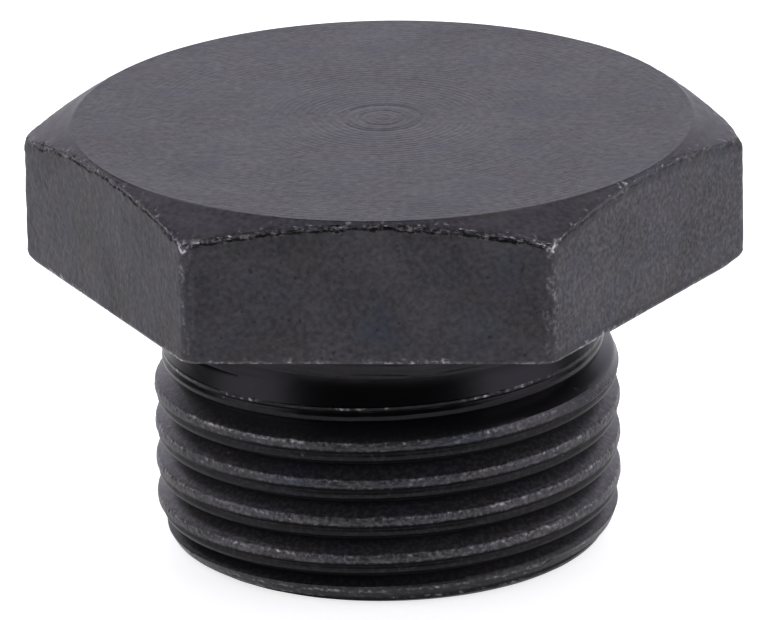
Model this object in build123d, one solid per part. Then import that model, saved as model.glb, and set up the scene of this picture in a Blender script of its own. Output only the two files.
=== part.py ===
from build123d import *
import math
import os

# Hexagon head screw plug, M18 x 1.5, spanner size 24, turned in one piece from hexagon bar.
# Millimetres. The axis is Z, the thread's end face lies on Z = 0 and the head is on top.
# Two flats of the hexagon face -Y and +Y, and two of its corners lie on the X axis.

# Head
SPANNER_SIZE = 24.0
BAR_ALLOWANCE = 0.25       # drawn hexagon bar is this much under its spanner size
HEAD_HEIGHT = 5.6
FACE_MARGIN = 0.08         # the faced disc on top stops this far inside the flats
CORNER_ANGLE = 22.4        # slope of the turned corner chamfer, in degrees from the top face
BAR_EDGE_RADIUS = 0.3      # drawn bar has slightly rounded edges
LOWER_EDGE_CHAMFER = 0.12  # the head's lower edge is broken by this much

# Shank, from the thread's end face to the head's bearing face
SHANK_LENGTH = 10.9
THREAD_SIZE = 18.0
THREAD_ALLOWANCE = 0.2     # the thread's major diameter is this much under its size
PITCH = 1.5
FLANK_ANGLE = 60.0         # between the two flanks of the thread's groove
ROOT_FLAT = 0.085
CREST_FLAT = 0.37          # the crest's full-height upper ridge
SEAM_WIDTH = 0.14          # the seam that thread rolling leaves along the crest
SEAM_DEPTH = 0.19
LOWER_RIDGE = 0.08         # width of the lower ridge, on the seam's other side
LOWER_RIDGE_DROP = 0.12    # the lower ridge stays this much inside the upper one
FIRST_CREST = 0.995        # height of the crest's upper edge over the hexagon corner on +X
FULL_THREAD = 6.6          # from the end face to where the crests begin to run down
LEAD_RADIUS = 3.3          # the first turns are turned to an arc, for an easy start in the hole
LEAD_HEIGHT = 2.0          # from the end face to the top of that arc
END_CHAMFER_HEIGHT = 0.2
END_CHAMFER_DEPTH = 0.33   # the chamfer's width on the end face

# Relief groove below the head: a long cone that the thread runs out on, then a plain neck
NECK_DIAMETER = 16.1
RELIEF_ANGLE = 20.5        # slope of the cone against the axis
NECK_CORNER = 0.4          # the neck meets the bearing face in a small cone of this height

# The section that takes the groove out reaches this far outside the crests.
GROOVE_OVERSHOOT = 0.2

ACROSS_FLATS = SPANNER_SIZE - BAR_ALLOWANCE
ACROSS_CORNERS = ACROSS_FLATS / math.cos(math.radians(30))
TOP = SHANK_LENGTH + HEAD_HEIGHT
CREST_RADIUS = (THREAD_SIZE - THREAD_ALLOWANCE) / 2
FLANK_SLOPE = math.tan(math.radians(FLANK_ANGLE / 2))
CREST_WIDTH = CREST_FLAT + SEAM_WIDTH + LOWER_RIDGE
FLANK_HEIGHTS = PITCH - CREST_WIDTH - ROOT_FLAT
THREAD_DEPTH = (FLANK_HEIGHTS / FLANK_SLOPE + LOWER_RIDGE_DROP) / 2
ROOT_RADIUS = CREST_RADIUS - THREAD_DEPTH
NECK_RADIUS = NECK_DIAMETER / 2
NECK_START = FULL_THREAD + (CREST_RADIUS - NECK_RADIUS) / math.tan(math.radians(RELIEF_ANGLE))


def turned(outline):
    """A turned solid, from its outline drawn as radius and height."""
    return revolve(Plane.XZ * make_face(outline), Axis.Z)


def hexagon_bar():
    """The length of drawn hexagon bar that the head is left from."""
    section = RegularPolygon(ACROSS_FLATS / 2, 6, major_radius=False)
    section = fillet(section.vertices(), BAR_EDGE_RADIUS)
    return Pos(0, 0, SHANK_LENGTH) * extrude(section, HEAD_HEIGHT)


def head_outline():
    """The turned top: a flat disc inside the flats, and the chamfer that cuts the corners."""
    disc = ACROSS_FLATS / 2 - FACE_MARGIN
    reach = ACROSS_CORNERS / 2
    drop = (reach - disc) * math.tan(math.radians(CORNER_ANGLE))
    outline = Polyline(
        (0, SHANK_LENGTH),
        (reach, SHANK_LENGTH),
        (reach, TOP - drop),
        (disc, TOP),
        (0, TOP),
        close=True,
    )
    return turned(outline)


def head():
    solid = hexagon_bar() & head_outline()
    lower_edges = solid.faces().sort_by(Axis.Z)[0].edges()
    return chamfer(lower_edges, LOWER_EDGE_CHAMFER)


def neck():
    """The floor of the relief groove, with a small cone up to the head's bearing face."""
    outline = Polyline(
        (0, NECK_START),
        (NECK_RADIUS, NECK_START),
        (NECK_RADIUS, SHANK_LENGTH - NECK_CORNER),
        (NECK_RADIUS + NECK_CORNER, SHANK_LENGTH),
        (0, SHANK_LENGTH),
        close=True,
    )
    return turned(outline)


def shank_outline():
    """The shank below the neck as a plain turned solid: chamfer, rounded lead, thread and cone."""
    arc_height = LEAD_HEIGHT - END_CHAMFER_HEIGHT
    arc_start_radius = CREST_RADIUS - LEAD_RADIUS + math.sqrt(LEAD_RADIUS**2 - arc_height**2)
    arc_start = (arc_start_radius, END_CHAMFER_HEIGHT)
    arc_end = (CREST_RADIUS, LEAD_HEIGHT)
    end_side = Polyline((0, 0), (arc_start_radius - END_CHAMFER_DEPTH, 0), arc_start)
    side = Polyline(
        arc_end,
        (CREST_RADIUS, FULL_THREAD),
        (NECK_RADIUS, NECK_START),
        (0, NECK_START),
        (0, 0),
    )
    return turned(Curve() + [end_side, RadiusArc(arc_start, arc_end, -LEAD_RADIUS), side])


def groove_section(height):
    """The groove's section with its root at this height, and the seam in the crest above it."""
    flank = THREAD_DEPTH * FLANK_SLOPE
    mouth = ROOT_FLAT / 2 + flank + GROOVE_OVERSHOOT * FLANK_SLOPE
    ridge = ROOT_FLAT / 2 + flank - LOWER_RIDGE_DROP * FLANK_SLOPE
    seam = ridge + LOWER_RIDGE
    seam_reach = (1 + GROOVE_OVERSHOOT / SEAM_DEPTH) * SEAM_WIDTH / 2
    section = Polyline(
        (ROOT_RADIUS, height + ROOT_FLAT / 2),
        (CREST_RADIUS - LOWER_RIDGE_DROP, height + ridge),
        (CREST_RADIUS - LOWER_RIDGE_DROP, height + seam),
        (CREST_RADIUS - SEAM_DEPTH, height + seam + SEAM_WIDTH / 2),
        (CREST_RADIUS + GROOVE_OVERSHOOT, height + seam + SEAM_WIDTH / 2 + seam_reach),
        (CREST_RADIUS + GROOVE_OVERSHOOT, height - mouth),
        (ROOT_RADIUS, height - ROOT_FLAT / 2),
        close=True,
    )
    return Plane.XZ * make_face(section)


def thread_groove(finish):
    """The thread's groove: right-hand, from below the end face up to the finish height."""
    start = FIRST_CREST + THREAD_DEPTH * FLANK_SLOPE + ROOT_FLAT / 2 - 2 * PITCH
    path = Helix(PITCH, finish - start, ROOT_RADIUS, center=(0, 0, start))
    return sweep(groove_section(start), path, is_frenet=True)


def threaded_shank():
    """The thread is formed on an over-long rod, which is then turned to the shank's outline.

    The groove runs on past the start of the neck, so it fades out on the relief cone.
    """
    finish = NECK_START + PITCH
    rod = Cylinder(CREST_RADIUS, finish + PITCH, align=(Align.CENTER, Align.CENTER, Align.MIN))
    return (rod - thread_groove(finish)) & shank_outline()


os.makedirs("parts", exist_ok=True)
plug = head() + neck() + threaded_shank()
plug.label = "screw_plug"
export_step(plug, "parts/screw_plug.step")
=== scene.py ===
import math
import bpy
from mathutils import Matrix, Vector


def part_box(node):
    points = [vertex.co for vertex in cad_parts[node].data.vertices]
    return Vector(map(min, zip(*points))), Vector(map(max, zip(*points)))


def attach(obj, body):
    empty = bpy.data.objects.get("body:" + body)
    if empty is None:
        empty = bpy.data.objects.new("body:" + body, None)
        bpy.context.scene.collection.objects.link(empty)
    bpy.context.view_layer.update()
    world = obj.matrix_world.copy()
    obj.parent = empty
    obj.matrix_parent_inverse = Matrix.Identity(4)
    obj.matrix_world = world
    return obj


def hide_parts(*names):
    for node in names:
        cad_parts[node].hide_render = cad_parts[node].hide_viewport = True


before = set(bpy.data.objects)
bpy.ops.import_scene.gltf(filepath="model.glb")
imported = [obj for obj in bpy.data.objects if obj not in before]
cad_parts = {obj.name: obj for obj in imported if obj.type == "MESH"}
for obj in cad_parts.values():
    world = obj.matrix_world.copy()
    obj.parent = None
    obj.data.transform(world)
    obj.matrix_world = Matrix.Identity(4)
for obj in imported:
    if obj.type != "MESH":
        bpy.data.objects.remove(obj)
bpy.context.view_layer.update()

from types import SimpleNamespace

import bmesh
import bpy
from mathutils import Matrix, Vector, noise

scene = bpy.context.scene


# ---------------------------------------------------------------------------
# The camera stands low in front of the plug, far away behind a long lens,
# a little to the right of the middle of the front flat.
# ---------------------------------------------------------------------------
aim = Vector((-0.00007, 0.0, 0.00875))
camera_distance = 0.3811
azimuth = math.radians(3.210)
elevation = math.radians(19.914)
roll = math.radians(-1.067)

back = Vector((
    math.sin(azimuth) * math.cos(elevation),
    -math.cos(azimuth) * math.cos(elevation),
    math.sin(elevation),
))
level_right = Vector((math.cos(azimuth), math.sin(azimuth), 0.0))
level_up = back.cross(level_right)
right = level_right * math.cos(roll) + level_up * math.sin(roll)
up = level_up * math.cos(roll) - level_right * math.sin(roll)
camera_turn = Matrix((right, up, back)).transposed().to_4x4()
camera_data = bpy.data.cameras.new("camera")
camera_data.sensor_width = 36.0
camera_data.lens = 468.6
camera_data.clip_start = 0.05
camera_data.clip_end = 20.0
camera = bpy.data.objects.new("camera", camera_data)
camera.matrix_world = Matrix.Translation(aim + back * camera_distance) @ camera_turn
scene.collection.objects.link(camera)
scene.camera = camera
scene.view_settings.view_transform = "Standard"


# ---------------------------------------------------------------------------
# The studio: a white table under large soft lights overhead, behind and high
# in front, smaller ones at the sides, and a dark room round the camera.
# ---------------------------------------------------------------------------
room_brightness = 0.06
light_tint = (0.985, 0.955, 1.07)
table_reach = 3.0
table_gap = 0.00002
table_white = (0.6, 0.6, 0.6, 1.0)
table_glow = 0.74


def add_node(tree, kind, inputs=(), **settings):
    """A new shader node, with its settings made and its inputs filled in or linked."""
    made = tree.nodes.new("ShaderNode" + kind)
    for name, value in settings.items():
        setattr(made, name, value)
    for name, value in dict(inputs).items():
        if isinstance(value, bpy.types.NodeSocket):
            tree.links.new(value, made.inputs[name])
        else:
            made.inputs[name].default_value = value
    return made


def new_material(name):
    """An empty node material and its tree."""
    material = bpy.data.materials.new(name)
    material.use_nodes = True
    material.node_tree.nodes.clear()
    return material, material.node_tree


def soft_box(name, place, target, width, height, brightness):
    """A large soft light at this place, turned to face the target."""
    lamp = bpy.data.lights.new(name, "AREA")
    lamp.shape = "RECTANGLE"
    lamp.size = width
    lamp.size_y = height
    lamp.energy = brightness * math.pi * width * height
    lamp.color = light_tint
    thing = bpy.data.objects.new(name, lamp)
    thing.location = place
    thing.rotation_euler = (Vector(target) - Vector(place)).to_track_quat("-Z", "Y").to_euler()
    scene.collection.objects.link(thing)


world = bpy.data.worlds.new("dark room")
world.use_nodes = True
background = world.node_tree.nodes["Background"]
background.inputs["Color"].default_value = (1.0, 1.0, 1.0, 1.0)
background.inputs["Strength"].default_value = room_brightness
scene.world = world

soft_box("light overhead", (0.0, 0.35, 0.75), (0.0, 0.35, 0.0), 1.8, 1.2, 1.15)
soft_box("light behind", (0.1, 0.95, 0.4), (0.1, 0.0, 0.4), 2.4, 0.78, 1.3)
soft_box("light front", (0.0, -0.5, 0.72), (0.0, 0.0, 0.0), 1.4, 0.45, 0.35)
soft_box("light left", (-0.82, -0.26, 0.4), (0.0, 0.0, 0.3), 0.7, 0.7, 2.0)
soft_box("light right", (0.83, -0.2, 0.4), (0.0, 0.0, 0.3), 0.85, 0.7, 2.2)

table_mesh = bpy.data.meshes.new("table")
table_shape = bmesh.new()
bmesh.ops.create_grid(table_shape, x_segments=1, y_segments=1, size=table_reach)
table_shape.to_mesh(table_mesh)
table_shape.free()
table = bpy.data.objects.new("table", table_mesh)
table.location.z = -table_gap
scene.collection.objects.link(table)

table_paint, tree = new_material("table white")
table_noise = add_node(tree, "TexNoise", {"Scale": 3.0, "Detail": 2.0})
table_tone = add_node(tree, "MapRange", {
    "Value": table_noise.outputs["Fac"], "To Min": 0.45, "To Max": 0.55})
table_shader = add_node(tree, "BsdfPrincipled", {
    "Base Color": table_white,
    "Roughness": table_tone.outputs["Result"],
    "Emission Color": (1.0, 1.0, 1.0, 1.0),
    "Emission Strength": table_glow,
})
add_node(tree, "OutputMaterial", {"Surface": table_shader.outputs["BSDF"]})
table_mesh.materials.append(table_paint)


# ---------------------------------------------------------------------------
# The finish of the whole plug: steel with a thin black oxide, lightly oiled.
# The blackening is a little uneven, with cool and warm clouds, and worn
# through to brighter metal on burrs and proud edges.
# ---------------------------------------------------------------------------
millimetres = (1000.0, 1000.0, 1000.0)
across_axis = (1.0, 1.0, 0.0)
cool_tint = (0.036, 0.041, 0.060, 1.0)
warm_tint = (0.055, 0.042, 0.036, 1.0)
darkening_tint = (0.015, 0.0144, 0.0156, 1.0)
wear_and_light_tint = (0.34, 0.33, 0.336, 1.0)
oil_and_shade_tint = (0.014, 0.0134, 0.0147, 1.0)
edge_tint = (0.84, 0.84, 0.84, 1.0)


def maths(tree, operation, first, second=0.0, clamp=False):
    """The result of one step of arithmetic in a shader."""
    made = add_node(tree, "Math", {0: first, 1: second}, operation=operation, use_clamp=clamp)
    return made.outputs[0]


def ramp(tree, value, low, high, at_low, at_high):
    """A value taken evenly from one range to another, and held at its ends."""
    made = add_node(tree, "MapRange", {
        "Value": value, "From Min": low, "From Max": high, "To Min": at_low, "To Max": at_high})
    return made.outputs["Result"]


def blend(tree, share, first, second):
    """The colour that lies this share of the way from the first to the second."""
    made = add_node(tree, "Mix", {0: share, 6: first, 7: second}, data_type="RGBA")
    return made.outputs[2]


def clouds(tree, place, scale, detail, roughness=0.5):
    """Soft random clouds, finer as their scale grows."""
    made = add_node(tree, "TexNoise", {
        "Vector": place, "Scale": scale, "Detail": detail, "Roughness": roughness})
    return made.outputs["Fac"]


def painted(tree, name):
    """The value that a piece's own mesh carries under this name."""
    return add_node(tree, "Attribute", attribute_name=name).outputs["Fac"]


def new_group(name, inputs, outputs):
    """A shader node group with these inputs and outputs, and the sockets of its two ends."""
    group = bpy.data.node_groups.new(name, "ShaderNodeTree")
    for label, kind, value in inputs:
        socket = group.interface.new_socket(label, in_out="INPUT", socket_type="NodeSocket" + kind)
        if value is not None:
            socket.default_value = value
    for label, kind in outputs:
        group.interface.new_socket(label, in_out="OUTPUT", socket_type="NodeSocket" + kind)
    start = group.nodes.new("NodeGroupInput")
    end = group.nodes.new("NodeGroupOutput")
    return group, start.outputs, end.inputs


blackening, given, result = new_group(
    "blackening",
    [("Position", "Vector", None), ("Grain", "Float", 4.0), ("Mottle", "Float", 0.2),
     ("Dark", "Color", (0.04, 0.038, 0.042, 1.0)), ("Light", "Color", (0.07, 0.067, 0.073, 1.0)),
     ("Cool", "Float", 0.4), ("Warm", "Float", 0.2), ("Wear and light", "Float", 0.0),
     ("Darkening", "Float", 0.0), ("Streak", "Float", 0.0)],
    [("Color", "Color"), ("Tone", "Float")],
)
mottle = clouds(blackening, given["Position"], given["Grain"], 2.0)
mottle = ramp(blackening, mottle, 0.3, 0.7, -0.5, 0.5)
mottle = maths(blackening, "MULTIPLY", mottle, given["Mottle"])
tone = clouds(blackening, given["Position"], 0.35, 3.0)
tone = maths(blackening, "ADD", tone, given["Streak"])
tone = maths(blackening, "ADD", mottle, tone, clamp=True)
colour = blend(blackening, tone, given["Dark"], given["Light"])
for label, tint, shift, scale, detail, low, high in (
        ("Cool", cool_tint, (31.0, 7.0, 3.0), 0.42, 3.0, 0.52, 0.72),
        ("Warm", warm_tint, (-13.0, 17.0, 29.0), 0.6, 4.0, 0.58, 0.75)):
    shifted = add_node(blackening, "VectorMath", {0: given["Position"], 1: shift}, operation="ADD")
    cloud = clouds(blackening, shifted.outputs[0], scale, detail)
    share = maths(
        blackening, "MULTIPLY", ramp(blackening, cloud, low, high, 0.0, 1.0), given[label])
    colour = blend(blackening, share, colour, tint)
fleck = clouds(blackening, given["Position"], 6.0, 2.0)
# Flecked darkening and wear come from each piece's own values. On the thread, the darkening of the
# seam and lower ridge is painted shade, and some of the wear is painted light.
for label, tint, low, high, at_low, at_high in (
        ("Darkening", darkening_tint, 0.42, 0.56, 1.0, 0.12),
        ("Wear and light", wear_and_light_tint, 0.45, 0.62, 0.08, 1.0)):
    share = ramp(blackening, fleck, low, high, at_low, at_high)
    share = maths(blackening, "MULTIPLY", share, given[label], clamp=True)
    colour = blend(blackening, share, colour, tint)
blackening.links.new(colour, result["Color"])
blackening.links.new(tone, result["Tone"])

turning_marks, given, result = new_group(
    "turning marks",
    [("Position", "Vector", None), ("Across", "Float", 0.0), ("Lines", "Float", 4.0),
     ("Breaks", "Float", 8.0), ("Feed", "Float", 0.2), ("Rings", "Float", 0.4),
     ("Centre", "Float", 0.0)],
    [("Height", "Float"), ("Streak", "Float")],
)
# Fine broken lines run round the axis.
flat_place = add_node(turning_marks, "VectorMath", {
    0: given["Position"], 1: across_axis}, operation="MULTIPLY").outputs[0]
direction = add_node(turning_marks, "VectorMath", {0: flat_place}, operation="NORMALIZE")
direction = add_node(turning_marks, "SeparateXYZ", {0: direction.outputs[0]}).outputs
height = add_node(turning_marks, "SeparateXYZ", {0: given["Position"]}).outputs["Z"]
across = maths(turning_marks, "MULTIPLY", given["Across"], given["Lines"])
around = maths(turning_marks, "MULTIPLY", direction["X"], given["Breaks"])
around = maths(turning_marks, "ADD", around, height)
aside = maths(turning_marks, "MULTIPLY", direction["Y"], given["Breaks"])
line_place = add_node(turning_marks, "CombineXYZ", {"X": across, "Y": around, "Z": aside})
lines = clouds(turning_marks, line_place.outputs[0], 1.0, 4.0, 0.6)
# The tool's feed leaves even rings, in patches and round the centre.
sway = clouds(turning_marks, given["Position"], 0.5, 1.0)
phase = maths(turning_marks, "DIVIDE", given["Across"], given["Feed"])
phase = maths(turning_marks, "ADD", phase, sway)
phase = maths(turning_marks, "MULTIPLY", phase, 2.0 * math.pi)
patches = clouds(turning_marks, given["Position"], 0.3, 2.0)
patches = ramp(turning_marks, patches, 0.4, 0.65, 0.0, 1.0)
patches = maths(turning_marks, "MULTIPLY", patches, given["Rings"])
from_axis = add_node(turning_marks, "VectorMath", {0: flat_place}, operation="LENGTH")
near_axis = ramp(turning_marks, from_axis.outputs["Value"], 1.0, 6.5, 1.0, 0.0)
near_axis = maths(turning_marks, "MULTIPLY", near_axis, given["Centre"])
share = maths(turning_marks, "ADD", patches, near_axis)
rings = maths(turning_marks, "MULTIPLY", maths(turning_marks, "SINE", phase), share)
turning_marks.links.new(maths(turning_marks, "ADD", lines, rings), result["Height"])
turning_marks.links.new(lines, result["Streak"])


def position_in_mm(tree):
    """The place on the piece in millimetres."""
    place = add_node(tree, "TexCoord").outputs["Object"]
    return add_node(tree, "Mapping", {"Vector": place, "Scale": millimetres}).outputs["Vector"]


def distance_from_axis(tree, position):
    """How far from the plug's axis a place on the piece is."""
    across = add_node(tree, "VectorMath", {0: position, 1: across_axis}, operation="MULTIPLY")
    length = add_node(tree, "VectorMath", {0: across.outputs[0]}, operation="LENGTH")
    return length.outputs["Value"]


def steel_shader(tree, colour, roughness, height, depth, metallic=1.0):
    """Steel of this colour and roughness, with bumps of this height and depth, as the output."""
    bump = add_node(tree, "Bump", {"Height": height, "Strength": 1.0, "Distance": depth})
    shader = add_node(tree, "BsdfPrincipled", {
        "Base Color": colour, "Metallic": metallic, "Specular Tint": edge_tint,
        "Roughness": roughness, "Normal": bump.outputs["Normal"]})
    add_node(tree, "OutputMaterial", {"Surface": shader.outputs["BSDF"]})


def turned_steel(
        name, grain, dark, light, mottle, cool, warm, roughness, depth,
        lines, breaks, feed, rings, centre, grit):
    """Blackened steel with turning marks round the axis."""
    material, tree = new_material(name)
    position = position_in_mm(tree)
    # Distance from the axis plus height grows along any turned outline.
    height = add_node(tree, "SeparateXYZ", {0: position}).outputs["Z"]
    across = maths(tree, "ADD", distance_from_axis(tree, position), height)
    marks = add_node(tree, "Group", {
        "Position": position, "Across": across, "Lines": lines, "Breaks": breaks,
        "Feed": feed, "Rings": rings, "Centre": centre,
    }, node_tree=turning_marks).outputs
    oxide = add_node(tree, "Group", {
        "Position": position, "Grain": grain, "Mottle": mottle, "Dark": dark, "Light": light,
        "Cool": cool, "Warm": warm, "Wear and light": painted(tree, "wear_and_light"), "Darkening": painted(tree, "darkening"),
        "Streak": ramp(tree, marks["Streak"], 0.3, 0.7, -0.35, 0.35),
    }, node_tree=blackening).outputs
    rough = ramp(tree, marks["Streak"], 0.3, 0.7, roughness - 0.05, roughness + 0.06)
    speckle = maths(tree, "MULTIPLY", clouds(tree, position, 9.0, 3.0, 0.7), grit)
    bumps = maths(tree, "ADD", marks["Height"], speckle)
    steel_shader(tree, oxide["Color"], rough, bumps, depth)
    return material


# ---------------------------------------------------------------------------
# The head and the neck below it, left from one length of drawn hexagon bar.
# The top is faced off in a lathe and its corners are chamfered, which tears a
# thin burr out of each flat's upper edge. The neck is turned plain.
# ---------------------------------------------------------------------------
node_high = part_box("screw_plug")[1]
half_flats = node_high.y * 1000.0
top_height = node_high.z * 1000.0
bearing_height = 10.9
face_dip = 0.012
face_waves = 0.004
disc_radius = 11.76
chamfer_drop = 0.02
chamfer_slope = math.tan(math.radians(22.4))
chamfer_dip = 0.008
lower_chamfer = 0.12
foot_inset = 0.07
foot_corner = 0.05
foot_chip = 0.1
flat_skin = 0.03
flat_waves = 0.012
flat_begin = 0.56
flat_end = 0.4
nick_depth = 0.03
nick_wear = 0.36
neck_radius = 8.05
neck_corner = 0.4
neck_foot = 8.87
foot_fillet = 0.38
cone_slope = 0.374
neck_joint = 8.93
core_inset = 0.1
core_height = 8.6
sharp_edge = math.radians(32)

# What the facing tool left round the middle of the top, two grooves and a small
# peak: the radius, depth and half the width of each.
tool_marks = ((1.5, 0.026, 0.05), (0.84, 0.018, 0.05), (0.0, -0.012, 0.1))

# Radius of each upright edge of the bar, from +X round to the left.
corner_rounds = (0.3, 0.55, 0.5, 0.3, 0.5, 0.5)

# How large a burr each of those corners carries at its top, how deep it lies, and
# how many columns from the corner the burr and the corner's wear fade out.
corner_burrs = (0.2, 0.5, 0.4, 0.1, 1.0, 0.8)
burr_drop = 0.08
burr_inset = 0.09
burr_fade = (14.0, 7.0)
corner_fade = (9.0, 3.0)

# How badly each flat's upper edge is torn, from the one facing -Y round to the right.
torn_edges = (1.0, 0.4, 0.3, 0.35, 0.4, 0.8)
lip_rise = 0.022
lip_reach = 0.024
lip_height = 0.48
furrow_inset = 0.06
chip_depth = 0.1

# How far each flat is rubbed bright, in the same order.
rubbed_flats = (0.0, 0.1, 0.04, 0.0, 0.03, 0.02)

# The corner on +X has been knocked round, top and bottom, and the one on -X a little:
# how far along the flats each knock reaches, and what it takes off.
knock_reach = 1.6
light_knock_reach = 0.9
light_knock = 0.4
knock_radius = 0.5
knock_depth = 0.46
knock_lift = 0.126
foot_knock = 0.36

# Columns of vertices round half of one upright edge and along half a flat. One
# sixteenth of the head is spun, and doubled until it closes.
corner_columns = 6
side_columns = 74
sector_columns = 2 * (corner_columns + side_columns)
column_count = 6 * sector_columns
head_parts = 16
head_doublings = 4


def smooth_step(low, high, value):
    """Zero below low, one above high and a soft step between them."""
    share = min(max((value - low) / (high - low), 0.0), 1.0)
    return share * share * (3.0 - 2.0 * share)


def rounding(radius, depth):
    """How far a rounded edge is set back at this depth into its rounding."""
    return radius - math.sqrt(radius ** 2 - min(max(depth, 0.0), 0.97 * radius) ** 2)


def ripple(place, size, seed=0.0):
    """Smooth random waviness from about -1 to 1, with waves of this size in mm."""
    return noise.noise(Vector((
        place[0] / size + seed, place[1] / size - seed, place[2] / size + 2.0 * seed)))


def patchy(place, level, *layers):
    """A level with layers of ripple on it, each given as its strength, size and seed."""
    return level + sum(strength * ripple(place, size, seed) for strength, size, seed in layers)


def hexagon_side(column):
    """A column's place on the bar's rounded hexagon, and the direction out of the bar there."""
    sector = round(column / sector_columns)
    step = column - sector * sector_columns
    corner_round = corner_rounds[sector % 6]
    corner = Vector(((half_flats - corner_round) / math.cos(math.radians(30)), 0.0))
    if abs(step) <= corner_columns:
        lean = math.radians(30) * step / corner_columns
        out = Vector((math.cos(lean), math.sin(lean)))
        place = corner + corner_round * out
    else:
        way = 1 if step >= 0 else -1
        share = (abs(step) - corner_columns) / side_columns
        out = Vector((math.cos(math.radians(30)), way * math.sin(math.radians(30))))
        place = (corner + corner_round * out).lerp(half_flats * out, share)
    turn = Matrix.Rotation(math.radians(60 * sector), 2)
    return turn @ place, turn @ out


knocked_corner = Vector((hexagon_side(0)[0].x, 0.0))


def flat_number(out):
    """Which flat a direction belongs to, counted from the one facing -Y round to the right."""
    return int(((math.degrees(math.atan2(out.y, out.x)) + 120.0) % 360.0) // 60.0)


def head_column(column):
    """What all the rows of the head share in one column: its place, and its marks of use."""
    side, out = hexagon_side(column)
    reach = side.length
    spot = (side.x, side.y, 0.0)
    corner_step = abs((column + sector_columns // 2) % sector_columns - sector_columns // 2)
    burr = corner_burrs[round(column / sector_columns) % 6] * smooth_step(*burr_fade, corner_step)
    tear = max(patchy(spot, 0.75, (0.6, 1.7, 4.0), (0.35, 0.6, 9.0)), 0.0)
    tear *= torn_edges[flat_number(out)]
    # The torn edge is jagged: it drops where a chip has broken out of it.
    chip = max(0.0, patchy(spot, -0.05, (1.0, 0.42, 21.0), (0.7, 0.19, 22.0)))
    edge_drop = chip_depth * tear * chip
    from_knock = (side - knocked_corner).length
    from_light_knock = (side + knocked_corner).length
    tear *= 1.0 - 0.8 * burr
    tear *= 0.2 + 0.8 * smooth_step(0.2, 2.4, from_light_knock)
    return SimpleNamespace(
        side=side, out=out, outward=side.normalized(), reach=reach, spot=spot,
        corner_step=corner_step, corner_wear=smooth_step(*corner_fade, corner_step),
        edge_height=top_height - chamfer_drop - (reach - disc_radius) * chamfer_slope,
        edge_drop=edge_drop, burr=burr, tear=tear,
        knocked=max(0.0, 1.0 - from_knock / knock_reach) ** 2
        + light_knock * max(0.0, 1.0 - from_light_knock / light_knock_reach) ** 2)


# Each of the next functions places a vertex in one zone of the head, and says
# how worn it is there and how much darker its colour is painted.
def face_vertex(at, radius):
    """The faced top, at this radius."""
    here = at.outward * radius
    height = top_height - face_dip - face_waves * ripple((here.x, here.y, 0.0), 2.5)
    for mark_radius, depth, half_width in tool_marks:
        height -= depth * math.exp(-((radius - mark_radius) / half_width) ** 2)
    return Vector((here.x, here.y, height)), 0.0, 0.0


def chamfer_vertex(at, share):
    """The corner chamfer, this share of the way out to its rim."""
    rim = at.reach - rounding(knock_radius, knock_depth) * at.knocked
    radius = disc_radius + (rim - disc_radius) * share
    from_rim = rim - radius
    near_rim = smooth_step(0.5, 0.0, from_rim)
    here = at.outward * radius
    spot = (here.x, here.y, 0.0)
    height = top_height - chamfer_drop - (radius - disc_radius) * chamfer_slope
    height += lip_rise * near_rim * at.tear * patchy(spot, -0.5, (1.0, 0.2, 5.0))
    height -= at.edge_drop * smooth_step(0.12, 0.0, from_rim)
    height -= burr_drop * at.burr * smooth_step(0.3, 0.0, from_rim)
    waves = patchy((here.x * 3.0, here.y, 3.0), 1.0, (1.0, 0.8, 0.0))
    height -= chamfer_dip * waves * smooth_step(0.0, 0.2, share)
    wear_and_light = near_rim * max(0.0, patchy(spot, -0.75, (2.6, 0.19, 8.0), (1.1, 1.0, 2.0)))
    wear_and_light += 0.6 * at.burr * smooth_step(0.12, 0.02, from_rim)
    darkening = min(1.0, at.tear) * smooth_step(0.3, 0.05, from_rim)
    darkening *= patchy(at.spot, 0.5, (1.0, 0.9, 51.0))
    return Vector((here.x, here.y, height)), wear_and_light, darkening


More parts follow.
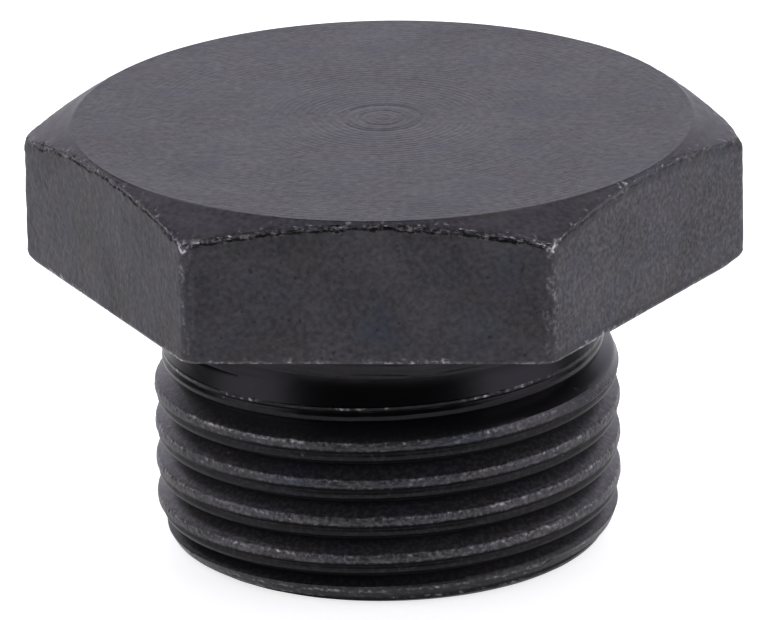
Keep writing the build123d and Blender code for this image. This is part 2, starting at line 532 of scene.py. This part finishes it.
def lip_vertex(at, depth):
    """The torn upper edge of a flat, this deep below it: a thin lip over a furrow."""
    spot = (at.side.x, at.side.y, depth)
    tall_spot = (at.side.x, at.side.y, depth * 2.0)
    furrow_depth = patchy(at.spot, 0.19, (0.06, 0.9, 31.0), (0.05, 0.22, 32.0))
    furrow_half = max(0.0, patchy(at.spot, 0.5, (1.0, 0.6, 33.0), (0.6, 0.21, 34.0)))
    furrow_half = 0.03 + 0.07 * furrow_half
    from_furrow = abs(depth - furrow_depth)
    furrow = smooth_step(furrow_half + 0.03, furrow_half - 0.02, from_furrow)
    furrow_band = smooth_step(furrow_half + 0.09, furrow_half, from_furrow)
    lip = smooth_step(furrow_depth, furrow_depth - 0.08, depth)

    inset = patchy(spot, flat_skin, (0.006, 0.3, 36.0))
    inset += furrow_inset * furrow * at.tear * patchy(tall_spot, 1.0, (0.9, 0.17, 3.0))
    inset -= lip_reach * lip * at.tear * patchy(tall_spot, 1.0, (1.8, 0.17, 6.0))
    inset += burr_inset * at.burr * smooth_step(0.35, 0.0, depth)
    here = at.side - at.out * max(inset, 0.0)
    here -= at.outward * rounding(knock_radius, knock_depth - depth) * at.knocked
    sunk = at.edge_drop * smooth_step(0.15, 0.0, depth)
    sunk += burr_drop * at.burr * smooth_step(0.3, 0.0, depth)
    sunk -= knock_lift * at.knocked * max(0.0, 1.0 - depth / lip_height)

    fresh = 2.8 * ripple(spot, 0.18, 7.0) + patchy(at.spot, -0.7, (1.3, 0.9, 3.0))
    wear_and_light = lip * max(0.0, fresh) * (1.0 - 0.8 * furrow)
    rubbed = patchy(at.spot, 0.5, (1.2, 0.8, 53.0))
    wear_and_light = max(wear_and_light, 0.6 * min(1.0, at.tear) * furrow_band * rubbed)
    # The burr is a bright stroke that leads down to the corner itself.
    stroke_depth = 0.4 * max(0.0, 1.0 - at.corner_step / 11.0)
    stroke = smooth_step(0.19, 0.07, abs(depth - stroke_depth))
    stroke *= patchy(spot, 2.1, (1.6, 0.15, 37.0))
    wear_and_light = max(wear_and_light * (1.0 - 0.6 * at.burr), at.burr * stroke)
    darkening = min(1.0, 1.4 * at.tear) * max(furrow_band, 0.8 * smooth_step(0.32, 0.2, depth))
    darkening *= patchy(at.spot, 1.0, (0.6, 0.5, 52.0)) * (1.0 - at.burr)
    return Vector((here.x, here.y, at.edge_height - depth - sunk)), wear_and_light, darkening


def flat_vertex(at, share):
    """A drawn flat, this share of the way down it, with nicks beside the corners."""
    top = at.edge_height - flat_begin
    foot = bearing_height + flat_end
    height = top + (foot - top) * share
    spot = (at.side.x, at.side.y, height)
    nick = at.corner_wear * max(0.0, patchy(spot, 0.2, (1.5, 0.22, 41.0)))
    inset = patchy(spot, flat_skin, (flat_waves, 1.6, 0.0)) + nick_depth * nick
    here = at.side - at.out * inset
    wear_and_light = nick_wear * nick + rubbed_flats[flat_number(at.out)]
    return Vector((here.x, here.y, height)), wear_and_light, 0.0


def foot_vertex(at, rise):
    """A flat's lower edge, this far above the seat: a small chamfer, chipped and rubbed."""
    spot = (at.side.x, at.side.y, rise)
    chip = max(0.0, patchy(at.spot, -0.3, (1.0, 0.5, 11.0), (0.6, 0.18, 12.0)))
    inset = flat_skin + smooth_step(lower_chamfer, 0.0, rise) * (foot_inset + foot_chip * chip)
    inset += foot_corner * at.corner_wear * smooth_step(flat_end, 0.0, rise) ** 1.5
    here = at.side - at.out * inset
    here -= at.outward * rounding(foot_knock, foot_knock - rise) * at.knocked
    fresh = 2.2 * ripple(spot, 0.2, 14.0) + patchy(at.spot, -0.35, (1.5, 2.6, 15.0))
    wear_and_light = smooth_step(0.16, 0.04, rise) * patchy(at.spot, 0.25, (0.7, 1.3, 16.0))
    wear_and_light += smooth_step(0.3, 0.08, rise) * max(0.0, fresh)
    return Vector((here.x, here.y, bearing_height + rise)), wear_and_light, 0.0


def seat_vertex(at, share):
    """The seat under the head, this share of the way in to the neck."""
    here = at.side - at.out * (flat_skin + foot_inset + foot_corner * at.corner_wear)
    here -= at.outward * rounding(foot_knock, foot_knock) * at.knocked
    here = here.lerp(at.outward * (neck_radius + neck_corner), share)
    return Vector((here.x, here.y, bearing_height)), 0.0, 0.0


def neck_outline(height):
    """Radius of the neck at this height, with its fillets into the head and the cone below."""
    if height > bearing_height - neck_corner:
        return neck_radius + height - (bearing_height - neck_corner)
    if height > neck_foot + foot_fillet:
        return neck_radius
    if height > neck_foot - foot_fillet:
        into_fillet = neck_foot + foot_fillet - height
        return neck_radius + cone_slope * into_fillet ** 2 / (4.0 * foot_fillet)
    return neck_radius + cone_slope * (neck_foot - height)


def neck_vertex(at, height):
    """The neck at this height. Below its joint it goes down inside the threaded shank."""
    radius = neck_outline(height) if height >= neck_joint else neck_radius - core_inset
    return Vector((at.outward.x * radius, at.outward.y * radius, height)), 0.0, 0.0


def core_vertex(at, radius):
    """The neck's hidden end inside the shank."""
    return Vector((at.outward.x * radius, at.outward.y * radius, core_height)), 0.0, 0.0


def double_round(shape, angle, rise, times):
    """Copy a shape round and up the axis, next to itself, this many times over."""
    for step in range(times):
        copied = bmesh.ops.duplicate(shape, geom=shape.verts[:] + shape.edges[:] + shape.faces[:])
        fresh = [part for part in copied["geom"] if isinstance(part, bmesh.types.BMVert)]
        onward = Matrix.Rotation(angle * 2 ** step, 4, "Z")
        onward = Matrix.Translation((0, 0, rise * 2 ** step)) @ onward
        bmesh.ops.transform(shape, matrix=onward, verts=fresh)


# The zones of the head from the middle of its top out, down and in again: the
# function that places a vertex there, the material and the measure of each row.
head_zones = (
    (face_vertex, 0, (
        0.0, 0.06, 0.12, 0.2, 0.34, 0.55, 0.78, 0.84, 0.9, 1.1, 1.44, 1.5, 1.56, 1.8,
        2.6, 4.0, 5.6, 7.2, 8.8, 10.2, 11.0, 11.5, 11.68, disc_radius)),
    (chamfer_vertex, 1, (
        0.06, 0.15, 0.28, 0.41, 0.54, 0.66, 0.76, 0.84, 0.9, 0.95, 0.98, 1.0)),
    (lip_vertex, 2, (
        0.03, 0.06, 0.09, 0.12, 0.15, 0.18, 0.21, 0.24, 0.27, 0.30, 0.33, 0.37, 0.42,
        lip_height)),
    (flat_vertex, 2, (0.0, 0.08, 0.18, 0.29, 0.4, 0.5, 0.6, 0.71, 0.82, 0.92, 1.0)),
    (foot_vertex, 2, (0.32, 0.26, 0.2, 0.15, 0.11, 0.07, 0.03, 0.0)),
    (seat_vertex, 3, (0.04, 0.2, 0.45, 0.7, 0.9, 1.0)),
    (neck_vertex, 3, (
        10.75, 10.6, 10.5, 10.42, 10.1, 9.7, 9.25, 9.18, 9.1, 9.02, neck_joint, 8.9, 8.7)),
    (core_vertex, 3, (7.0, 0.0)),
)
head_rows = [(place_vertex, slot, measure)
             for place_vertex, slot, measures in head_zones for measure in measures]

head_shape = bmesh.new()
row_layer = head_shape.verts.layers.int.new("row")
wear_and_light_layer = head_shape.verts.layers.float.new("wear_and_light")
darkening_layer = head_shape.verts.layers.float.new("darkening")
chain = []
for row in range(len(head_rows)):
    vertex = head_shape.verts.new((1.0 + row, 0.0, float(len(head_rows) - row)))
    vertex[row_layer] = row
    if chain:
        head_shape.edges.new((chain[-1], vertex))
    chain.append(vertex)
bmesh.ops.spin(
    head_shape, geom=head_shape.verts[:] + head_shape.edges[:], cent=(0, 0, 0), axis=(0, 0, 1),
    angle=2 * math.pi / head_parts, steps=column_count // head_parts)
double_round(head_shape, 2 * math.pi / head_parts, 0.0, head_doublings)
bmesh.ops.remove_doubles(head_shape, verts=head_shape.verts[:], dist=1e-3)

head_columns = [head_column(column) for column in range(column_count)]
for vertex in head_shape.verts:
    turn = math.atan2(vertex.co.y, vertex.co.x)
    at = head_columns[round(turn / (2 * math.pi) * column_count) % column_count]
    place_vertex, _, measure = head_rows[vertex[row_layer]]
    place, wear_and_light, darkening = place_vertex(at, measure)
    vertex.co = place * 0.001
    vertex[wear_and_light_layer] = min(max(wear_and_light, 0.0), 1.0 + 2.0 * at.burr)
    vertex[darkening_layer] = min(max(darkening, 0.0), 1.0)

bmesh.ops.remove_doubles(head_shape, verts=head_shape.verts[:], dist=1e-7)
bmesh.ops.recalc_face_normals(head_shape, faces=head_shape.faces[:])
for face in head_shape.faces:
    lowest_row = max(vertex[row_layer] for vertex in face.verts)
    face.material_index = head_rows[lowest_row][1]
    face.smooth = True
for edge in head_shape.edges:
    edge.smooth = edge.calc_face_angle(0.0) < sharp_edge
head_mesh = bpy.data.meshes.new("head")
head_shape.to_mesh(head_mesh)
head_shape.free()
head = bpy.data.objects.new("head", head_mesh)
scene.collection.objects.link(head)

faced_top = turned_steel(
    "faced top", grain=3.4, mottle=0.85, cool=0.55, warm=0.25, roughness=0.42, depth=0.000013,
    dark=(0.031, 0.0302, 0.0326, 1.0), light=(0.082, 0.0798, 0.0853, 1.0),
    lines=1.6, breaks=7.0, feed=0.25, rings=0.2, centre=0.25, grit=1.7)
corner_chamfer = turned_steel(
    "corner chamfer", grain=5.0, mottle=0.8, cool=0.4, warm=0.4, roughness=0.38, depth=0.00001,
    dark=(0.0265, 0.0254, 0.028, 1.0), light=(0.0505, 0.048, 0.0528, 1.0),
    lines=3.4, breaks=7.0, feed=0.26, rings=0.25, centre=0.0, grit=0.8)
# The neck's tones are set lower than the rest of the plug's, as painted shade under the head.
turned_neck = turned_steel(
    "turned neck", grain=4.0, mottle=0.3, cool=0.2, warm=0.2, roughness=0.27, depth=0.000013,
    dark=(0.0155, 0.0149, 0.0162, 1.0), light=(0.0265, 0.0255, 0.0275, 1.0),
    lines=7.0, breaks=2.0, feed=0.19, rings=0.35, centre=0.0, grit=0.15)

# The flats keep the skin of the drawn bar: grained, streaked upwards and pitted.
drawn_flats, tree = new_material("drawn flats")
position = position_in_mm(tree)
oxide = add_node(tree, "Group", {
    "Position": position, "Grain": 5.0, "Mottle": 0.6,
    "Dark": (0.026, 0.0251, 0.0273, 1.0), "Light": (0.0565, 0.0544, 0.0590, 1.0),
    "Cool": 0.5, "Warm": 0.2, "Wear and light": painted(tree, "wear_and_light"), "Darkening": painted(tree, "darkening"),
}, node_tree=blackening).outputs
pits = add_node(tree, "TexVoronoi", {"Vector": position, "Scale": 2.4}).outputs
pit_number = add_node(tree, "SeparateColor", {"Color": pits["Color"]}).outputs[0]
pit_share = ramp(tree, pit_number, 0.5, 0.6, 0.0, 0.6)
pit_share = maths(tree, "MULTIPLY", ramp(tree, pits["Distance"], 0.06, 0.2, 1.0, 0.0), pit_share)
drawn = add_node(tree, "Mapping", {"Vector": position, "Scale": (7.0, 7.0, 0.5)})
streaks = maths(tree, "MULTIPLY", clouds(tree, drawn.outputs["Vector"], 1.0, 2.0), 0.02)
skin = maths(tree, "ADD", clouds(tree, position, 2.4, 4.0, 0.62), streaks)
skin = maths(tree, "ADD", skin, ramp(tree, pits["Distance"], 0.0, 0.2, -0.2, 0.0))
steel_shader(
    tree, blend(tree, pit_share, oxide["Color"], oil_and_shade_tint),
    ramp(tree, oxide["Tone"], 0.0, 1.0, 0.47, 0.38), skin, 0.000034)

for material in (faced_top, corner_chamfer, drawn_flats, turned_neck):
    head_mesh.materials.append(material)
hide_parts("screw_plug")
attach(head, "root")


# ---------------------------------------------------------------------------
# The thread, M18 x 1.5, rolled to shape: right-hand, its flanks smooth, and
# each crest closed by a thin seam with a rough upper ridge. The first turns
# are rounded off, and the last run out on a long cone turned down to the neck.
# ---------------------------------------------------------------------------
pitch = 1.5
crest_radius = 8.9
root_radius = 8.19
first_crest = 0.995
full_thread = 6.6
lead_radius = 3.3
lead_height = 2.0
end_chamfer_height = 0.2
end_chamfer_depth = 0.33
crest_flat = 0.30
ridge_top = 0.55
ridge_foot = 0.60
groove_top = 0.75
root_drop = 1.03
lip_begin = 0.09
lip_stand = 0.02
lip_end = (8.4, 7.9)
top_chip = 0.07
ridge_waves = 0.02
groove_waves = 0.006
speck_height = 0.25
round_off = 1e-4

# An eighth of a turn is spun, and six doublings of it make eight turns.
steps_round = 512
thread_parts = 8
thread_doublings = 6

# The thread's outline: drops below the crest's upper edge, the radius there, and
# how many rows of vertices lead on to the next.
outline = (
    (0.0, 8.868, 1), (0.04, 8.880, 1), (0.09, 8.889, 2), (0.15, 8.896, 2), (0.22, 8.9, 1),
    (0.26, 8.898, 2), (crest_flat, 8.884, 1), (0.34, 8.852, 1), (0.38, 8.81, 1),
    (0.42, 8.776, 1), (0.46, 8.780, 1), (0.51, 8.797, 1), (ridge_top, 8.806, 1),
    (ridge_foot, 8.805, 1), (0.66, 8.792, 1), (0.71, 8.766, 1), (0.755, 8.72, 3),
    (root_drop, root_radius, 2), (1.17, 8.42, 2), (1.30, 8.645, 1), (1.38, 8.775, 1),
    (1.43, 8.835, 1), (1.46, 8.855, 1), (1.48, 8.863, 1), (pitch, 8.868, 0))


def outline_radius(drop):
    """Radius of the full thread this far below the crest's upper edge."""
    for (low, low_radius, _), (high, high_radius, _) in zip(outline, outline[1:]):
        if drop <= high:
            return low_radius + (high_radius - low_radius) * (drop - low) / (high - low)
    return crest_radius


def envelope_radius(height):
    """Radius the shank is turned to at this height, before the thread is rolled into it."""
    arc = lead_height - end_chamfer_height
    arc_foot = crest_radius - lead_radius + math.sqrt(lead_radius ** 2 - arc ** 2)
    if height < end_chamfer_height:
        return arc_foot - end_chamfer_depth * (1.0 - max(height, 0.0) / end_chamfer_height)
    if height < lead_height:
        below = lead_height - height
        return crest_radius - lead_radius + math.sqrt(lead_radius ** 2 - below ** 2)
    if height < full_thread:
        return crest_radius
    return neck_outline(height)


def thread_spot(x, y, z):
    """Where in the thread's outline, and how far up its run-out, a vertex lies."""
    turn = math.atan2(y, x)
    drop = (first_crest + pitch * turn / (2 * math.pi) - z) % pitch
    drop = 0.0 if pitch - drop < round_off else drop
    above_seam = 1.0 - smooth_step(crest_flat - 0.06, crest_flat + 0.03, drop)
    on_cone = smooth_step(full_thread - 0.1, full_thread + 0.5, z)
    speck = max(0.0, ripple((x, y, z * 1.2), 0.16, 17.0) - 0.62)
    speck *= smooth_step(0.45, 0.7, patchy((x, y, z), 0.5, (1.0, 2.5, 18.0)))
    return SimpleNamespace(
        z=z, drop=drop, place=(x, y, z), tall_place=(x, y, z * 1.7), speck=speck,
        on_crest=max(above_seam, smooth_step(pitch - 0.12, pitch - 0.02, drop)),
        near_top=smooth_step(0.12, 0.0, min(drop, pitch - drop)),
        on_cone=on_cone, off_cone=1.0 - on_cone, before_neck=smooth_step(*lip_end, z),
        on_upper=drop <= crest_flat + round_off or drop >= root_drop,
        on_lip=z > full_thread and crest_flat - lip_begin < drop <= crest_flat + round_off)


def upper_radius(at):
    """The turned surface, with the upper flank cut into it."""
    radius = min(envelope_radius(at.z), outline_radius(at.drop))
    rough = patchy(at.tall_place, -0.01, (0.016, 0.15, 7.0), (0.012, 0.45, 8.0))
    rough *= smooth_step(0.0, 1.2, at.z)
    chip = max(0.0, patchy(at.tall_place, -0.2, (1.0, 0.3, 5.0), (0.7, 0.15, 6.0)))
    radius += (rough * at.on_crest - top_chip * at.near_top * chip) * at.off_cone
    # Where the thread runs out, the seam's lip stands up as a thin burr.
    if at.on_lip:
        raised = envelope_radius(at.z + at.drop - crest_flat + lip_begin)
        raised += patchy(at.tall_place, lip_stand, (0.012, 0.3, 16.0))
        radius += (raised - radius) * at.on_cone * at.before_neck
    return radius


def lower_radius(at):
    """The seam, the lower ridge and the flank below it.

    They follow the turned surface at the ridge's own top edge, so they run out with it.
    """
    turned = envelope_radius(at.z)
    local = min(turned, envelope_radius(at.z + at.drop - ridge_top))
    share = min(1.0, 3.0 * max(0.0, (local - root_radius) / (crest_radius - root_radius)))
    ridge = local - (crest_radius - outline_radius(min(at.drop, ridge_foot))) * share
    if at.drop > ridge_foot:
        ridge_height = outline_radius(ridge_foot) - root_radius
        fall = (outline_radius(at.drop) - root_radius) / ridge_height
        return min(turned, root_radius + max(0.0, ridge - root_radius) * fall)
    on_ridge = smooth_step(crest_flat, 0.45, at.drop) * smooth_step(0.6, 0.5, at.drop)
    return ridge - ridge_waves * ripple(at.place, 0.7, 12.0) * on_ridge * at.before_neck


def thread_wear_and_light(at):
    """How bright the thread is worn on the crests, the lip, the specks and the end's edge, with
    painted light on the upper flanks and the lower crests.
    """
    top_flecks = patchy(at.tall_place, 0.55, (1.4, 0.17, 9.0), (1.0, 1.1, 10.0))
    lip_flecks = patchy(at.tall_place, 0.06, (0.9, 0.25, 19.0), (0.7, 1.7, 20.0))
    end_flecks = patchy(at.tall_place, 0.25, (0.5, 0.5, 23.0))
    lower_crests = smooth_step(4.2, 3.2, at.z) * smooth_step(1.0, 1.35, at.z)
    end_edge = smooth_step(0.08, 0.02, abs(at.z - end_chamfer_height - 0.03))
    wear_and_light = max(
        # Painted light: the upper flanks in the grooves are brightened a little.
        0.12 * smooth_step(root_drop, root_drop + 0.1, at.drop) * at.off_cone,
        0.55 * at.near_top * at.off_cone * top_flecks,
        0.4 * at.on_crest * at.off_cone * ripple(at.tall_place, 0.2, 11.0),
        at.on_lip * at.on_cone * at.before_neck * lip_flecks,
        # Painted light: the crests of the lower turns, further from the head's shade, are
        # brightened.
        0.13 * at.on_crest * lower_crests,
        4.0 * at.speck,
        end_edge * end_flecks)
    return min(wear_and_light, 1.0)


def thread_darkening(at):
    """How dark the thread is painted: heavily in the seam and on the lower ridge, as painted shade
    for the shadowed floor they reflect, and a little round the end.
    """
    # Painted shade: the seam and the lower ridge are darkened in colour.
    in_seam = smooth_step(0.22, 0.36, at.drop) * smooth_step(0.86, 0.66, at.drop)
    past_edge = smooth_step(end_chamfer_height + 0.05, end_chamfer_height + 0.15, at.z)
    return max(6.0 * in_seam * at.before_neck, 0.3 * smooth_step(1.1, 0.75, at.z) * past_edge)


drops = [low + (high - low) * step / count
         for (low, _, count), (high, _, _) in zip(outline, outline[1:]) for step in range(count)]
drops.append(pitch)
thread_shape = bmesh.new()
wear_and_light_layer = thread_shape.verts.layers.float.new("wear_and_light")
chain = []
for drop in drops:
    vertex = thread_shape.verts.new((crest_radius, 0.0, first_crest - pitch - drop))
    if chain:
        thread_shape.edges.new((chain[-1], vertex))
    chain.append(vertex)
bmesh.ops.spin(
    thread_shape, geom=thread_shape.verts[:] + thread_shape.edges[:],
    cent=(0, 0, 0), axis=(0, 0, 1), dvec=(0, 0, pitch / steps_round),
    angle=2 * math.pi / thread_parts, steps=steps_round // thread_parts)
double_round(thread_shape, 2 * math.pi / thread_parts, pitch / thread_parts, thread_doublings)
bmesh.ops.remove_doubles(thread_shape, verts=thread_shape.verts[:], dist=round_off)
for height, clear_above, clear_below in (
        (0.0, False, True), (neck_joint, True, False),
        (end_chamfer_height, False, False), (full_thread, False, False)):
    bmesh.ops.bisect_plane(
        thread_shape, geom=thread_shape.verts[:] + thread_shape.edges[:] + thread_shape.faces[:],
        dist=1e-5, plane_co=(0, 0, height), plane_no=(0, 0, 1),
        clear_outer=clear_above, clear_inner=clear_below)

crest_layer = thread_shape.verts.layers.float.new("crest")
darkening_layer = thread_shape.verts.layers.float.new("darkening")
for vertex in thread_shape.verts:
    x, y, z = vertex.co
    at = thread_spot(x, y, z)
    radius = upper_radius(at) if at.on_upper else lower_radius(at)
    if root_drop - 0.3 < at.drop < pitch - 0.1:
        radius -= groove_waves * ripple(at.place, 0.9, 14.0)
    # Small specks of scale and swarf sit in the grooves.
    if at.drop > groove_top and z < full_thread:
        radius += speck_height * at.speck
    scale = min(radius, crest_radius) / math.hypot(x, y) * 0.001
    vertex.co = (x * scale, y * scale, z * 0.001)
    vertex[wear_and_light_layer] = thread_wear_and_light(at)
    vertex[crest_layer] = at.on_crest * at.off_cone * (0.2 + 0.8 * smooth_step(0.8, 1.3, z))
    vertex[darkening_layer] = thread_darkening(at)

open_edges = [edge for edge in thread_shape.edges if edge.is_boundary]
bmesh.ops.holes_fill(thread_shape, edges=open_edges, sides=0)
bmesh.ops.recalc_face_normals(thread_shape, faces=thread_shape.faces[:])
for face in thread_shape.faces:
    face.smooth = len(face.verts) < 8
    face.material_index = 1 if face.normal.z < -0.999 else 0
for edge in thread_shape.edges:
    edge.smooth = edge.calc_face_angle(0.0) < sharp_edge
thread_mesh = bpy.data.meshes.new("thread")
thread_shape.to_mesh(thread_mesh)
thread_shape.free()
thread = bpy.data.objects.new("thread", thread_mesh)
scene.collection.objects.link(thread)

rolled_thread, tree = new_material("rolled thread")
position = position_in_mm(tree)
parts = add_node(tree, "SeparateXYZ", {0: position}).outputs
wear_and_light = painted(tree, "wear_and_light")
darkening = painted(tree, "darkening")
crest = painted(tree, "crest")

# The rolling marks follow the helix, so they are counted from the groove's root.
turn = maths(tree, "ARCTAN2", parts["Y"], parts["X"])
from_root = maths(tree, "MULTIPLY", turn, -pitch / (2 * math.pi))
from_root = maths(tree, "ADD", parts["Z"], from_root)
from_root = maths(tree, "ADD", from_root, root_drop - first_crest)
from_root = maths(tree, "FLOORED_MODULO", from_root, pitch)
marks = add_node(tree, "Group", {
    "Position": position, "Lines": 3.0, "Breaks": 5.0, "Feed": 0.15, "Rings": 0.1,
    "Across": maths(tree, "ADD", from_root, distance_from_axis(tree, position)),
}, node_tree=turning_marks).outputs
oxide = add_node(tree, "Group", {
    "Position": position, "Grain": 5.0, "Mottle": ramp(tree, crest, 0.0, 1.0, 0.15, 0.9),
    "Dark": (0.024, 0.0231, 0.0253, 1.0), "Light": (0.055, 0.053, 0.0575, 1.0),
    "Cool": 0.5, "Warm": 0.25, "Wear and light": wear_and_light, "Darkening": darkening,
}, node_tree=blackening).outputs

# Painted shade darkens the cone under the head, and the colour is darker round the end, but
# neither where the steel is worn bright.
cone_painted_shade = ramp(tree, parts["Z"], 7.0, 7.6, 0.0, 0.9)
darker_end = ramp(tree, parts["Z"], 0.9, 1.25, 0.7, 0.0)
unworn = maths(tree, "POWER", maths(tree, "SUBTRACT", 1.0, wear_and_light), 2.0)
cone_shade_and_darker_end = maths(tree, "MULTIPLY", maths(tree, "ADD", cone_painted_shade, darker_end), unworn)
crumbs = maths(tree, "MULTIPLY", crest, 18.0)
crumbs = maths(tree, "MULTIPLY", clouds(tree, position, 4.5, 3.0, 0.6), crumbs)
cone_rough = ramp(tree, parts["Z"], 6.7, 7.4, 0.4, 0.3)
cone_metal = ramp(tree, parts["Z"], 6.7, 7.4, 0.8, 1.0)
# Where the thread is painted darker it is wholly metallic, without a diffuse part.
darkening_metal = ramp(tree, darkening, 0.0, 1.0, 0.8, 1.0)
steel_shader(
    tree, blend(tree, cone_shade_and_darker_end, oxide["Color"], oil_and_shade_tint),
    ramp(tree, crest, 0.0, 1.0, cone_rough, 0.42),
    maths(tree, "ADD", marks["Height"], crumbs), 0.000003,
    metallic=maths(tree, "MAXIMUM", darkening_metal, cone_metal))

faced_end = turned_steel(
    "faced end", grain=5.0, mottle=0.5, cool=0.3, warm=0.2, roughness=0.38, depth=0.000006,
    dark=(0.028, 0.0268, 0.0295, 1.0), light=(0.044, 0.042, 0.046, 1.0),
    lines=3.0, breaks=8.0, feed=0.22, rings=0.4, centre=0.5, grit=0.5)
thread_mesh.materials.append(rolled_thread)
thread_mesh.materials.append(faced_end)
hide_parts("screw_plug")
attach(thread, "root")
